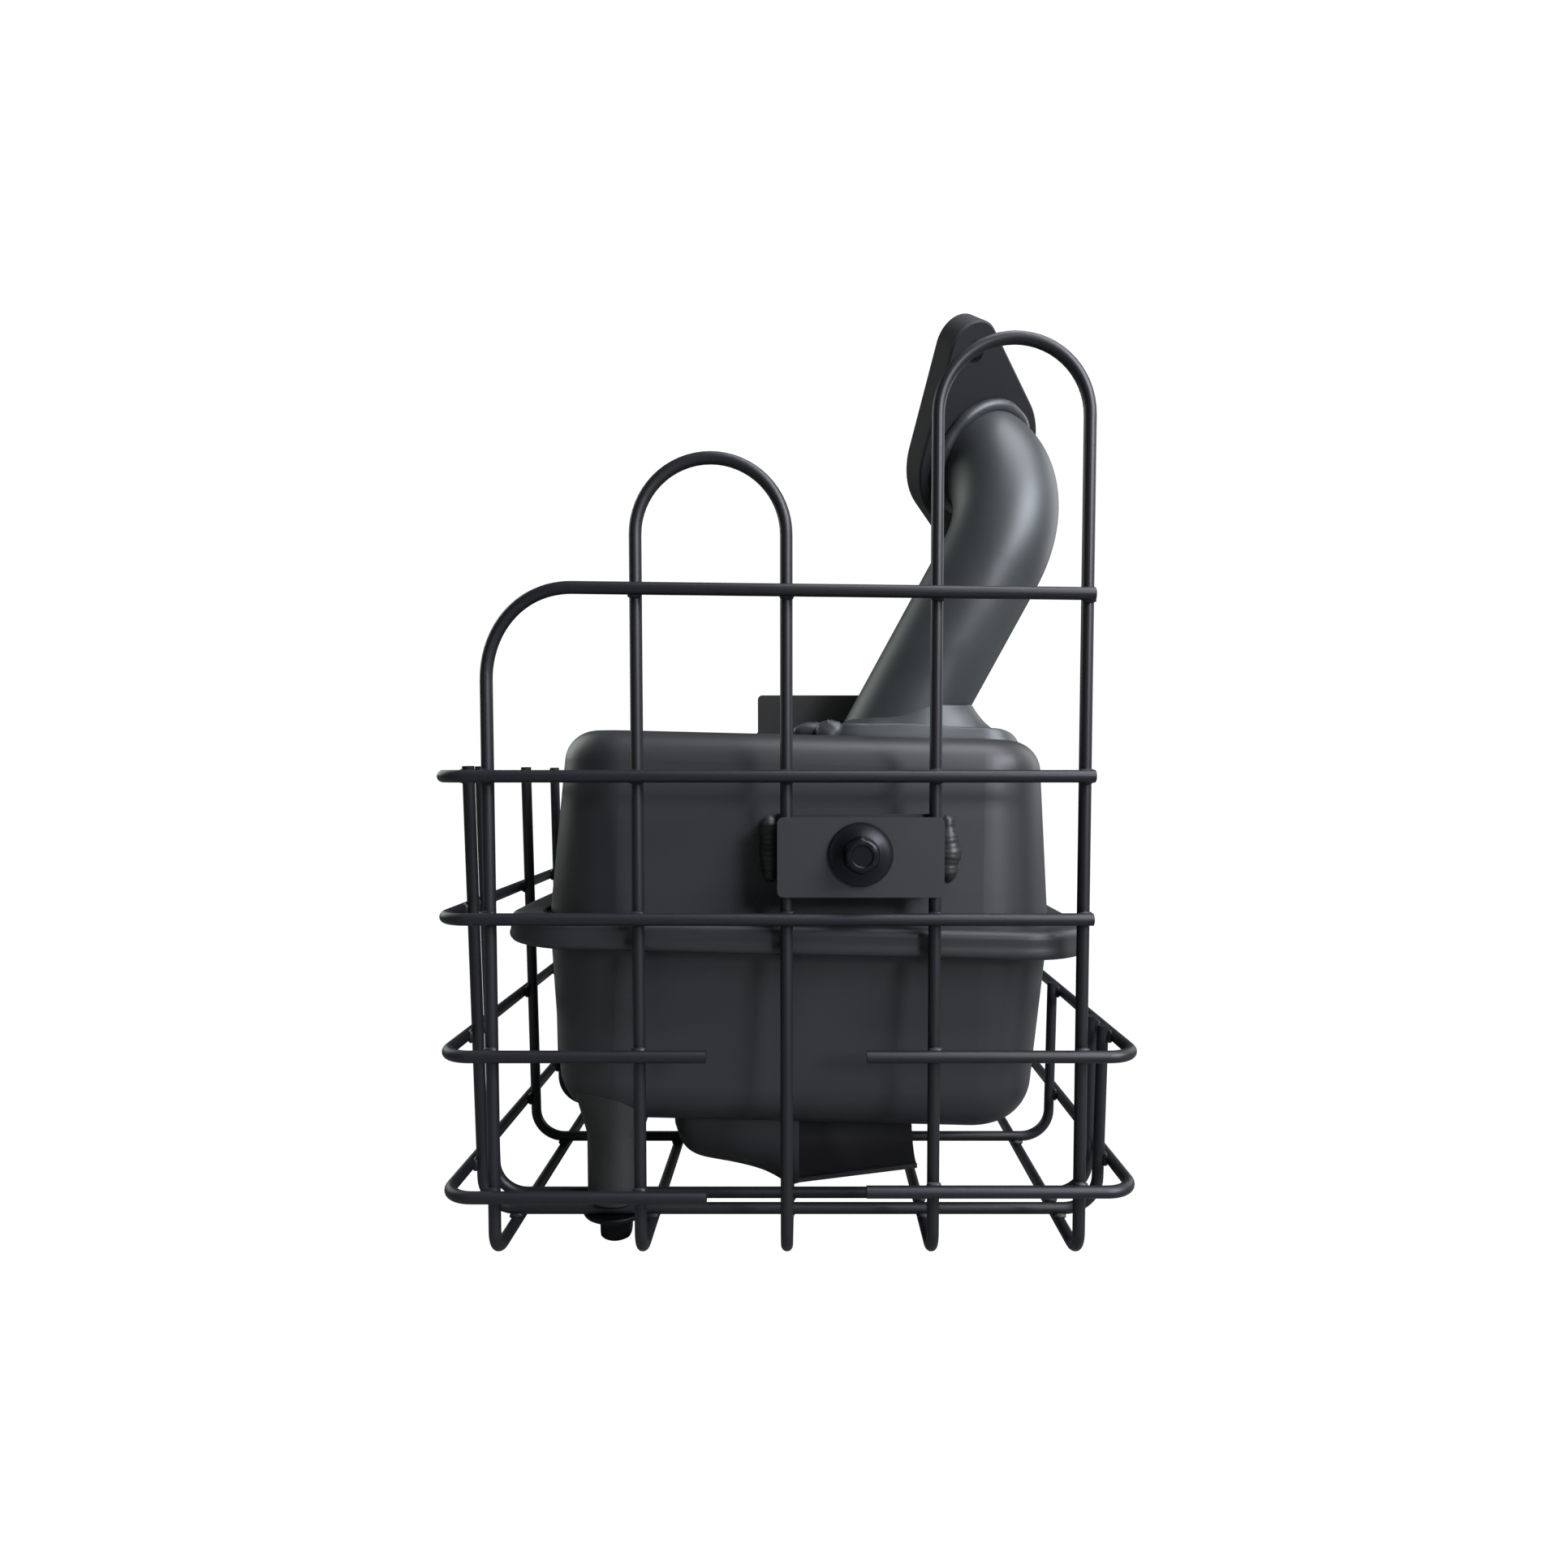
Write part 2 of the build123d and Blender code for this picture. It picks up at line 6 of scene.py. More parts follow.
import bmesh
import bpy
import numpy as np
from bpy.props import FloatProperty, FloatVectorProperty, IntProperty, PointerProperty
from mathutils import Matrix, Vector


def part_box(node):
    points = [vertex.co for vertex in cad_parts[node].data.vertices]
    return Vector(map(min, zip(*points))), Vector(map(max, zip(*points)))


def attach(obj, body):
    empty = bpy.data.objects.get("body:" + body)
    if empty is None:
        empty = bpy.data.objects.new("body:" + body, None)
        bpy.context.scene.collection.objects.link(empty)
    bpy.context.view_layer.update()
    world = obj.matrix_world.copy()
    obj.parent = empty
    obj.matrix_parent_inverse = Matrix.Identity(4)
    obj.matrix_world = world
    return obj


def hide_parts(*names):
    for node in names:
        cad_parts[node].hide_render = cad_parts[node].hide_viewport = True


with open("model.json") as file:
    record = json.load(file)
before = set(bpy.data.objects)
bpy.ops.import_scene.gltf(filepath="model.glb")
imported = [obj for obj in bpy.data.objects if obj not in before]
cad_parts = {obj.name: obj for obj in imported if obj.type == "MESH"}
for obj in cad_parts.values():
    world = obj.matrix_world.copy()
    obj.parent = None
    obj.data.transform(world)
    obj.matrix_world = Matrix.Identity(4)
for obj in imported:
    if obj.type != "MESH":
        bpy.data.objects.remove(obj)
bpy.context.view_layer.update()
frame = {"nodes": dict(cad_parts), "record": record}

bl_info = {
    "name": "Guarded Muffler",
    "version": (1, 0, 0),
    "blender": (4, 5, 0),
    "location": "3D View > Sidebar > Muffler",
    "description": "Welds, hardware, paint and stage of an exhaust muffler in a wire guard",
    "category": "Object",
}

BODY = "root"
MM = 0.001

# ---- paint ----------------------------------------------------------------------
PALE_SCUFF = (0.09, 0.09, 0.10)
DUST = (0.16, 0.155, 0.15)
SOOT = (0.004, 0.005, 0.004)
SOOT_RUBBED = (0.01, 0.01, 0.01)
HEAT_TINT = (0.22, 0.14, 0.08)
PAINT_SHEEN = (0.80, 1.0, 0.97)
MOTTLE_GAIN = 1.45
PEEL_DEPTH = 0.4 * MM
STREAK_DEPTH = 0.2 * MM
STEEL_ROUGHNESS = 0.32

# rough is a clean surface, spread what rubbed patches add to it, bump the strength of
# the orange peel, grain its scale and sag the share of the broad unevenness under it.
FINISHES = {
    "guard_wire": dict(
        rough=0.17, spread=0.10, bump=0.05, grain=700, sag=0.5, coat=0.55, dust=0.06, scuffs=0.12),
    "guard_plate": dict(
        rough=0.37, spread=0.08, bump=0.18, grain=800, dust=0.10, scuffs=0.12, gloss=0.34),
    "shell_paint": dict(
        rough=0.37, spread=0.07, bump=0.26, grain=1100, sag=0.3, dust=0.10, scuffs=0.10, gloss=0.30),
    "pipe_paint": dict(
        rough=0.27, spread=0.08, bump=0.24, grain=1000, sag=0.35, dust=0.08, scuffs=0.12, gloss=0.60),
    "flange_paint": dict(
        rough=0.43, spread=0.10, bump=0.65, grain=420, sag=0.5, dust=0.12, scuffs=0.18, gloss=0.32),
    "bracket_paint": dict(
        rough=0.38, spread=0.08, bump=0.28, grain=900, sag=0.35, dust=0.10, scuffs=0.12, gloss=0.30),
    "black_fastener": dict(
        rough=0.09, spread=0.06, bump=0.04, grain=500, coat=0.6, dust=0.02, scuffs=0.08),
    "soot": dict(rough=0.85, spread=0.1, bump=0.6, grain=300),
}

# ---- forms --------------------------------------------------------------------------
# The rolled hem's section in millimetres: how far out from the band's edge, and how high.
HEM_PROFILE = (
    (-11.5, 4.9), (-9.0, 5.0), (-5.0, 5.05), (-2.9, 4.9), (-1.4, 4.3), (-0.6, 3.3),
    (-0.45, 1.8), (-0.5, 0.2), (-0.35, -1.4), (0.0, -2.7), (-0.25, -3.8), (-1.0, -4.7),
    (-2.2, -5.1), (-3.6, -4.9), (-4.6, -4.2), (-5.2, -3.3), (-11.5, -3.2),
)
HEM_CORNER = 28 * MM
SHELL_EDGE = 12 * MM
SHELL_FLAT_HALF = 77.5 * MM
SADDLE_CORNER = 20 * MM
SADDLE_ROLL = 2.4 * MM
SADDLE_GROOVE = 5.2 * MM
SADDLE_RISE = 6 * MM
SHANK_RADIUS = 3.95 * MM
SHANK_LENGTHS = {"guard_bolt": 17.8 * MM, "leg_bolt": 15 * MM}
SKIRT_SHARE = 0.36
SADDLE_EDGE_WANDER = 1.7 * MM
SADDLE_LIFT = 2.6 * MM
SADDLE_ROLL_HEIGHT = 1.9 * MM
SADDLE_GROOVE_DEPTH = 1.7 * MM
SEAT_IN_PIPE = 0.4 * MM
FLANGE_BEAD_BACK = 7.6 * MM
FLANGE_BEAD_CLEAR = 0.9 * MM
BRACKET_BEAD_GAIN = 1.35
BRACKET_BEAD_FRONT = 2.6 * MM
BRACKET_BEAD_POINTS = 60
TOP_RAIL_FALL = 2.0 * MM
TAB_WELD_INSET = 5 * MM

X_AXIS, Y_AXIS, Z_AXIS = np.eye(3)
U_WIRES = ("u_wire_front", "u_wire_second", "u_wire_middle", "u_wire_rear")
# Which of the five uprights each rail crosses, counted from the left.
FRONT_RAILS = {
    "rail_upper": slice(0, 5), "rail_seam": slice(0, 5),
    "rail_low_left": slice(0, 2), "rail_low_right": slice(3, 5),
    "rail_floor_left": slice(0, 2), "rail_floor_right": slice(3, 5),
}
# Which side of the guard each rail runs down: 0 is the left and 1 the right.
SIDE_RAILS = {
    "rail_upper": 0, "rail_seam": 0, "rail_low_left": 0,
    "rail_floor_left": 0, "rail_low_right": 1, "rail_floor_right": 1,
}

# Lumps of the saddle's front weld: x from the base's left end, y from the front line,
# z from the shell's top, then the three half sizes, in millimetres, and the seed.
SADDLE_LUMPS = (
    ((14, 0.5, 1.2), (5.6, 4.2, 5.0), 61),
    ((21, 1.2, 1.6), (7.5, 3.2, 3.0), 62),
    ((7.5, 5, 2.2), (7.0, 4.6, 3.4), 63),
    ((34, 0.6, 1.0), (8.5, 2.6, 2.4), 64),
)

# ---- studio -------------------------------------------------------------------------
# name, place in metres, width in metres, watts, colour
LIGHTS = (
    ("key", (0.95, -0.78, 1.02), 0.7, 32, (0.90, 0.95, 1.0)),
    ("pipe_strip", (0.75, -1.15, 0.55), 0.25, 9, (0.95, 0.94, 1.0)),
    ("right_rim", (1.5, 0.9, 0.8), 1.2, 10, (1.0, 1.0, 1.0)),
    ("left_rim", (-1.5, 1.0, 0.9), 1.2, 14, (0.92, 1.0, 0.94)),
    ("top", (0.45, -0.2, 1.6), 0.9, 20, (0.95, 0.96, 1.0)),
)
LIGHT_AIM = Vector((0, 0, 0.16))
PAPER = (0.20, 0.21, 0.205)
PAPER_GLOW = 1.08
PAPER_WHITE_SHARE = 0.96
ROOM_WHITE = 1.05
ROOM_TINT = (0.72, 1.0, 0.88)
ROOM_REFLECTED = 0.07
SENSOR_WIDTH = 36.0
FLOOR_SPOKES = 64
NEAR_CLIP = 0.01


# ---- measures read from the frame -------------------------------------------
def box_of(node):
    """Lowest and highest corner of a node."""
    low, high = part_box(node)
    return np.array(low), np.array(high)


def mount(name):
    """Position and axis of one of the record's mounts."""
    for entry in frame["record"]["mounts"]:
        if entry["name"] == name:
            return np.array(entry["pos_m"]), np.array(entry["axis"])
    raise RuntimeError(f"no mount {name}")


def unit(v):
    """The vector scaled to length one."""
    v = np.asarray(v, float)
    return v / np.linalg.norm(v)


def across(axis):
    """Two unit vectors square to an axis and to each other."""
    axis = unit(axis)
    side = np.cross(axis, [0.0, 0.0, 1.0])
    if np.linalg.norm(side) < 1e-6:
        side = np.array([1.0, 0.0, 0.0])
    side = unit(side)
    return side, np.cross(axis, side)


# ---- mesh from arrays ---------------------------------------------------------
def add_mesh(name, verts, faces, smooth_angle=40):
    """One shaded mesh object at the origin from an array of points and quads."""
    mesh = bpy.data.meshes.new(name)
    mesh.from_pydata(verts.reshape(-1, 3).tolist(), [], faces)
    piece = bpy.data.objects.new(name, mesh)
    bpy.context.collection.objects.link(piece)
    mesh.validate()
    weld_points(mesh)
    mesh.shade_smooth()
    mesh.set_sharp_from_angle(angle=math.radians(smooth_angle))
    return piece


def weld_points(mesh):
    """Merges the doubled points of closed seams and poles and turns faces outwards."""
    work = bmesh.new()
    work.from_mesh(mesh)
    bmesh.ops.remove_doubles(work, verts=work.verts, dist=1e-6)
    bmesh.ops.dissolve_degenerate(work, edges=work.edges, dist=1e-7)
    bmesh.ops.recalc_face_normals(work, faces=work.faces)
    work.to_mesh(mesh)
    work.free()


def grid_faces(rows, columns, start=0):
    """Quads of a grid whose columns close on themselves."""
    r, c = np.meshgrid(np.arange(rows - 1), np.arange(columns), indexing="ij")
    nxt = (c + 1) % columns
    quads = np.stack(
        [r * columns + c, r * columns + nxt, (r + 1) * columns + nxt, (r + 1) * columns + c],
        axis=-1,
    )
    return (quads.reshape(-1, 4) + start).tolist()


def capped(rings):
    """The rings with a ring shrunk to a point before the first and after the last."""
    first = np.repeat(rings[:1].mean(axis=1, keepdims=True), rings.shape[1], axis=1)
    last = np.repeat(rings[-1:].mean(axis=1, keepdims=True), rings.shape[1], axis=1)
    return np.concatenate([first, rings, last])


def tube_piece(name, rings, smooth_angle=40):
    """Closed skin over rings of points; the first and last ring close in a point."""
    rings = capped(rings)
    return add_mesh(name, rings, grid_faces(len(rings), rings.shape[1]), smooth_angle)


def ring_piece(name, sections, smooth_angle=40):
    """Closed band: sections along a loop, each a closed outline of points."""
    sections = np.concatenate([sections, sections[:1]])
    return add_mesh(name, sections, grid_faces(len(sections), sections.shape[1]), smooth_angle)


def wobble(seed, *angles):
    """Smooth uneven waves between -1 and 1: a sum of four sines with fixed phases."""
    rng = np.random.default_rng(seed)
    total = 0
    for k in range(1, 5):
        turn = rng.uniform(0, 2 * math.pi, len(angles))
        pace = rng.integers(1, 4, len(angles)) * k
        wave = 1
        for angle, t, p in zip(angles, turn, pace):
            wave = wave * np.sin(p * angle + t)
        total = total + wave / k
    return total / 2


def finish_piece(piece, slot, *replaced):
    """Gives a new piece its slot's finish, its body and the nodes that it replaces."""
    piece.data.materials.clear()
    piece.data.materials.append(slot_material(slot))
    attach(piece, BODY)
    if replaced:
        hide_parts(*replaced)


# ---- shader building ----------------------------------------------------------
class Tree:
    """Small helper that adds nodes and joins sockets."""

    def __init__(self, tree):
        self.tree = tree

    def node(self, kind, **values):
        """Adds a node; a value is one of its own options or else the default of an input."""
        made = self.tree.nodes.new(kind)
        for key, value in values.items():
            if hasattr(made, key):
                setattr(made, key, value)
            else:
                made.inputs[key.replace("_", " ")].default_value = value
        return made

    def join(self, a, b):
        self.tree.links.new(a, b)

    def ramp(self, source, *stops):
        """Grey ramp through (place, shade) stops."""
        made = self.tree.nodes.new("ShaderNodeValToRGB")
        made.color_ramp.elements[0].position = stops[0][0]
        made.color_ramp.elements[1].position = stops[-1][0]
        for place, _ in stops[1:-1]:
            made.color_ramp.elements.new(place)
        for element, (_, shade) in zip(made.color_ramp.elements, stops):
            element.color = (shade, shade, shade, 1)
        self.join(source, made.inputs["Fac"])
        return made.outputs["Color"]

    def math(self, operation, a, b):
        """Math node on two sockets or numbers."""
        made = self.tree.nodes.new("ShaderNodeMath")
        made.operation = operation
        for socket, value in zip(made.inputs, (a, b)):
            if isinstance(value, (int, float)):
                socket.default_value = value
            else:
                self.join(value, socket)
        return made.outputs[0]


def new_group(name, inputs, outputs):
    """An empty shader group with named sockets: the group, its tree, its input and output."""
    group = bpy.data.node_groups.new(name, "ShaderNodeTree")
    for label, kind, value in inputs:
        made = group.interface.new_socket(label, in_out="INPUT", socket_type=kind)
        if value is not None:
            made.default_value = value
    for label, kind in outputs:
        group.interface.new_socket(label, in_out="OUTPUT", socket_type=kind)
    tree = Tree(group)
    return group, tree, tree.node("NodeGroupInput"), tree.node("NodeGroupOutput")


def paint_grain_group():
    """Sprayed paint: fine orange peel with a broader unevenness under it."""
    group, t, given, out = new_group(
        "paint_grain",
        [
            ("Position", "NodeSocketVector", None),
            ("Grain Scale", "NodeSocketFloat", 900.0),
            ("Sag Scale", "NodeSocketFloat", 60.0),
            ("Sag Share", "NodeSocketFloat", 0.4),
        ],
        [("Height", "NodeSocketFloat"), ("Mottle", "NodeSocketFloat")],
    )
    fine = t.node("ShaderNodeTexNoise", Detail=3.0, Roughness=0.6)
    broad = t.node("ShaderNodeTexNoise", Detail=2.0, Roughness=0.5)
    t.join(given.outputs["Position"], fine.inputs["Vector"])
    t.join(given.outputs["Position"], broad.inputs["Vector"])
    t.join(given.outputs["Grain Scale"], fine.inputs["Scale"])
    t.join(given.outputs["Sag Scale"], broad.inputs["Scale"])
    blend = t.node("ShaderNodeMix", data_type="FLOAT")
    t.join(given.outputs["Sag Share"], blend.inputs[0])
    t.join(fine.outputs["Fac"], blend.inputs[2])
    t.join(broad.outputs["Fac"], blend.inputs[3])
    t.join(blend.outputs[0], out.inputs["Height"])
    t.join(broad.outputs["Fac"], out.inputs["Mottle"])
    return group


def handling_group():
    """Rubbed patches and small scuffs left by handling and packing."""
    group, t, given, out = new_group(
        "handling_marks",
        [
            ("Position", "NodeSocketVector", None),
            ("Patch Scale", "NodeSocketFloat", 25.0),
            ("Scuff Scale", "NodeSocketFloat", 160.0),
            ("Coverage", "NodeSocketFloat", 0.5),
        ],
        [("Patches", "NodeSocketFloat"), ("Scuffs", "NodeSocketFloat")],
    )
    patch = t.node("ShaderNodeTexNoise", Detail=4.0, Roughness=0.55)
    t.join(given.outputs["Position"], patch.inputs["Vector"])
    t.join(given.outputs["Patch Scale"], patch.inputs["Scale"])
    t.join(t.ramp(patch.outputs["Fac"], (0.35, 0.0), (0.68, 1.0)), out.inputs["Patches"])
    stretch = t.node("ShaderNodeMapping")
    stretch.inputs["Scale"].default_value = (1.0, 1.0, 0.18)
    stretch.inputs["Rotation"].default_value = (0.5, 0.35, 0.0)
    t.join(given.outputs["Position"], stretch.inputs["Vector"])
    scuff = t.node("ShaderNodeTexNoise", Detail=5.0, Roughness=0.7)
    t.join(stretch.outputs["Vector"], scuff.inputs["Vector"])
    t.join(given.outputs["Scuff Scale"], scuff.inputs["Scale"])
    thin = t.ramp(scuff.outputs["Fac"], (0.62, 0.0), (0.72, 1.0))
    t.join(t.math("MULTIPLY", thin, given.outputs["Coverage"]), out.inputs["Scuffs"])
    return group


def dust_group():
    """Pale dust that settles on surfaces that look up."""
    group, t, given, out = new_group(
        "settled_dust",
        [
            ("Position", "NodeSocketVector", None),
            ("Facing", "NodeSocketVector", None),
            ("Amount", "NodeSocketFloat", 0.3),
        ],
        [("Mask", "NodeSocketFloat")],
    )
    split = t.node("ShaderNodeSeparateXYZ")
    t.join(given.outputs["Facing"], split.inputs[0])
    up = t.ramp(split.outputs["Z"], (0.35, 0.0), (0.95, 1.0))
    speck = t.node("ShaderNodeTexNoise", Scale=420.0, Detail=4.0, Roughness=0.7)
    t.join(given.outputs["Position"], speck.inputs["Vector"])
    settled = t.math("MULTIPLY", up, t.ramp(speck.outputs["Fac"], (0.3, 0.2), (0.7, 1.0)))
    t.join(t.math("MULTIPLY", settled, given.outputs["Amount"]), out.inputs["Mask"])
    return group


GROUP_MAKERS = {
    "paint_grain": paint_grain_group,
    "handling_marks": handling_group,
    "settled_dust": dust_group,
}
GROUPS = {}


def shared(name):
    """A shader group, built the first time that a material asks for it."""
    if name not in GROUPS:
        GROUPS[name] = GROUP_MAKERS[name]()
    return GROUPS[name]


def painted(
    name, colour, worn, rough, spread, bump,
    grain=900.0, sag=0.4, coat=0.0, dust=0.0, scuffs=0.4, gloss=0.5,
):
    """Painted metal: colour and roughness vary with mottle, patches, scuffs and dust."""
    material = bpy.data.materials.new(name)
    material.use_nodes = True
    t = Tree(material.node_tree)
    shader = material.node_tree.nodes["Principled BSDF"]
    where = t.node("ShaderNodeTexCoord")
    grain_node = t.node("ShaderNodeGroup", node_tree=shared("paint_grain"))
    marks = t.node("ShaderNodeGroup", node_tree=shared("handling_marks"))
    settled = t.node("ShaderNodeGroup", node_tree=shared("settled_dust"))
    for user in (grain_node, marks, settled):
        t.join(where.outputs["Object"], user.inputs["Position"])
    t.join(where.outputs["Normal"], settled.inputs["Facing"])
    grain_node.inputs["Grain Scale"].default_value = grain
    grain_node.inputs["Sag Share"].default_value = sag
    marks.inputs["Coverage"].default_value = scuffs
    settled.inputs["Amount"].default_value = dust
    base = t.node("ShaderNodeMix", data_type="RGBA")
    base.inputs[6].default_value = (*colour, 1)
    base.inputs[7].default_value = (*[c * MOTTLE_GAIN for c in colour], 1)
    t.join(grain_node.outputs["Mottle"], base.inputs[0])
    scuffed = t.node("ShaderNodeMix", data_type="RGBA")
    scuffed.inputs[7].default_value = (*worn, 1)
    t.join(marks.outputs["Scuffs"], scuffed.inputs[0])
    t.join(base.outputs[2], scuffed.inputs[6])
    dusty = t.node("ShaderNodeMix", data_type="RGBA")
    dusty.inputs[7].default_value = (*DUST, 1)
    t.join(settled.outputs["Mask"], dusty.inputs[0])
    t.join(scuffed.outputs[2], dusty.inputs[6])
    t.join(dusty.outputs[2], shader.inputs["Base Color"])
    matt = t.math("MULTIPLY_ADD", marks.outputs["Patches"], spread)
    matt.node.inputs[2].default_value = rough
    matter = t.math("ADD", matt, t.math("MULTIPLY", settled.outputs["Mask"], 0.5))
    t.join(matter, shader.inputs["Roughness"])
    relief = t.node("ShaderNodeBump", Strength=bump, Distance=PEEL_DEPTH)
    t.join(grain_node.outputs["Height"], relief.inputs["Height"])
    t.join(relief.outputs["Normal"], shader.inputs["Normal"])
    shader.inputs["Coat Weight"].default_value = coat
    shader.inputs["Specular IOR Level"].default_value = gloss
    shader.inputs["Specular Tint"].default_value = (*PAINT_SHEEN, 1)
    shader.inputs["Coat Roughness"].default_value = 0.12
    return material


def bare_steel(name, colour, rough):
    """Bare sheet steel with fine rolling streaks and a brown heat tint in patches."""
    material = bpy.data.materials.new(name)
    material.use_nodes = True
    t = Tree(material.node_tree)
    shader = material.node_tree.nodes["Principled BSDF"]
    shader.inputs["Metallic"].default_value = 1.0
    where = t.node("ShaderNodeTexCoord")
    stretch = t.node("ShaderNodeMapping")
    stretch.inputs["Scale"].default_value = (1.0, 1.0, 0.05)
    t.join(where.outputs["Object"], stretch.inputs["Vector"])
    streak = t.node("ShaderNodeTexNoise", Scale=900.0, Detail=3.0)
    t.join(stretch.outputs["Vector"], streak.inputs["Vector"])
    marks = t.node("ShaderNodeGroup", node_tree=shared("handling_marks"))
    t.join(where.outputs["Object"], marks.inputs["Position"])
    tint = t.node("ShaderNodeMix", data_type="RGBA")
    tint.inputs[6].default_value = (*colour, 1)
    tint.inputs[7].default_value = (*HEAT_TINT, 1)
    t.join(marks.outputs["Patches"], tint.inputs[0])
    t.join(tint.outputs[2], shader.inputs["Base Color"])
    matt = t.math("MULTIPLY_ADD", streak.outputs["Fac"], 0.25)
    matt.node.inputs[2].default_value = rough
    t.join(matt, shader.inputs["Roughness"])
    relief = t.node("ShaderNodeBump", Strength=0.2, Distance=STREAK_DEPTH)
    t.join(streak.outputs["Fac"], relief.inputs["Height"])
    t.join(relief.outputs["Normal"], shader.inputs["Normal"])
    return material


# ---- settings -----------------------------------------------------------------
class FinishSettings(bpy.types.PropertyGroup):
    """Colours of the painted and plated surfaces."""

    wire_colour: FloatVectorProperty(
        name="Wire", description="Powder coat of the guard's wires", subtype="COLOR",
        size=3, min=0, max=1, default=(0.0055, 0.0075, 0.0080),
    )
    shell_colour: FloatVectorProperty(
        name="Shell", description="Heat paint of the pressed halves", subtype="COLOR",
        size=3, min=0, max=1, default=(0.0050, 0.0100, 0.0092),
    )
    pipe_colour: FloatVectorProperty(
        name="Pipe", description="Heat paint of the pipe and its welds", subtype="COLOR",
        size=3, min=0, max=1, default=(0.0080, 0.0115, 0.0115),
    )
    steel_colour: FloatVectorProperty(
        name="Bare steel", description="Unpainted inner sheet", subtype="COLOR",
        size=3, min=0, max=1, default=(0.42, 0.40, 0.37),
    )


class HardwareSettings(bpy.types.PropertyGroup):
    """Sizes of the welds and the bolt heads."""

    weld_reach: FloatProperty(
        name="Wire weld", description="Reach of the weld where two wires cross",
        unit="LENGTH", min=0.0005, max=0.004, default=0.0026,
    )
    bead_radius: FloatProperty(
        name="Bead", description="Radius of the seam welds", unit="LENGTH",
        min=0.001, max=0.006, default=0.0028,
    )
    ripple_pitch: FloatProperty(
        name="Ripple pitch", description="Spacing of the ripples in a weld bead",
        unit="LENGTH", min=0.0005, max=0.005, default=0.0019,
    )
    hex_size: FloatProperty(
        name="Hex size", description="Width across the flats of the bolt heads",
        unit="LENGTH", min=0.005, max=0.02, default=0.012,
    )
    climb: FloatProperty(
        name="Saddle climb", description="How far the saddle climbs the pipe",
        unit="LENGTH", min=0.002, max=0.02, default=0.0115,
    )
    pipe_radius: FloatProperty(
        name="Pipe radius", description="Outer radius of the exhaust pipe",
        unit="LENGTH", min=0.01, max=0.03, default=0.0212,
    )
    pipe_lean: FloatProperty(
        name="Pipe lean", description="Lean of the pipe's lower run", subtype="ANGLE",
        default=math.radians(28.6),
    )
    body_lean: FloatProperty(
        name="Body lean", description="Lean of the pressed box in its guard", subtype="ANGLE",
        default=math.radians(1.4),
    )
    foot_offset: FloatProperty(
        name="Foot offset", description="Pipe's foot from the middle of its saddle",
        unit="LENGTH", default=-0.0042,
    )


class StageSettings(bpy.types.PropertyGroup):
    """Camera and studio."""

    camera_place: FloatVectorProperty(
        name="Camera", description="Where the camera stands", subtype="TRANSLATION",
        unit="LENGTH", size=3, default=(0.0057, -0.3755, 0.17395),
    )
    camera_dip: FloatProperty(
        name="Dip", description="How far the camera looks down", subtype="ANGLE",
        default=math.radians(2.7),
    )
    lens: FloatProperty(
        name="Lens", description="Focal length in millimetres", unit="CAMERA", default=21.24,
    )
    shift_x: FloatProperty(name="Shift across", description="Camera shift to the side", default=-0.0124)
    shift_y: FloatProperty(name="Shift up", description="Camera shift upwards", default=0.0206)
    floor_size: FloatProperty(
        name="Floor", description="Half width of the floor", unit="LENGTH", default=1.6,
    )
    floor_rings: IntProperty(name="Rings", description="Rings in the floor's grid", default=24)


def settings():
    """All of the muffler's settings, as the panel shows them."""
    return bpy.context.scene.muffler


class MufflerSettings(bpy.types.PropertyGroup):
    """All settings of the muffler."""

    finish: PointerProperty(type=FinishSettings)
    hardware: PointerProperty(type=HardwareSettings)
    stage: PointerProperty(type=StageSettings)


# ---- the materials by slot ------------------------------------------------------
def slot_material(slot):
    """The finish of one of the record's material slots, built once."""
    if slot in bpy.data.materials:
        return bpy.data.materials[slot]
    finish = settings().finish
    if slot == "inner_steel":
        return bare_steel(slot, tuple(finish.steel_colour), STEEL_ROUGHNESS)
    if slot == "soot":
        return painted(slot, SOOT, SOOT_RUBBED, **FINISHES[slot])
    if slot == "pipe_paint":
        colour = finish.pipe_colour
    elif slot in ("guard_wire", "guard_plate", "black_fastener"):
        colour = finish.wire_colour
    else:
        colour = finish.shell_colour
    return painted(slot, tuple(colour), PALE_SCUFF, **FINISHES[slot])


# ---- new surfaces ---------------------------------------------------------------
def upright_places(r):
    """Middles of the five uprights in x, from left to right; r is the wire's radius."""
    corner, short, tall = box_of("corner_hoop"), box_of("short_hoop"), box_of("tall_hoop")
    return [corner[0][0] + r, short[0][0] + r, short[1][0] - r, tall[0][0] + r, tall[1][0] - r]


def front_crossings(uprights, r):
    """Where the rails cross the uprights, each with the directions of both wires. The
    corner hoop's top run is the highest rail, and it falls evenly to the right."""
    y = box_of("short_hoop")[0][1]
    for rail, crossed in FRONT_RAILS.items():
        z = box_of(rail)[0][2] + r
        for x in uprights[crossed]:
            yield np.array([x, y, z]), X_AXIS, Z_AXIS
    top = box_of("corner_hoop")[1][2] - r
    for x in uprights[1:]:
        fall = TOP_RAIL_FALL * (x - uprights[0]) / (uprights[-1] - uprights[0])
        yield np.array([x, y, top - fall]), X_AXIS, Z_AXIS


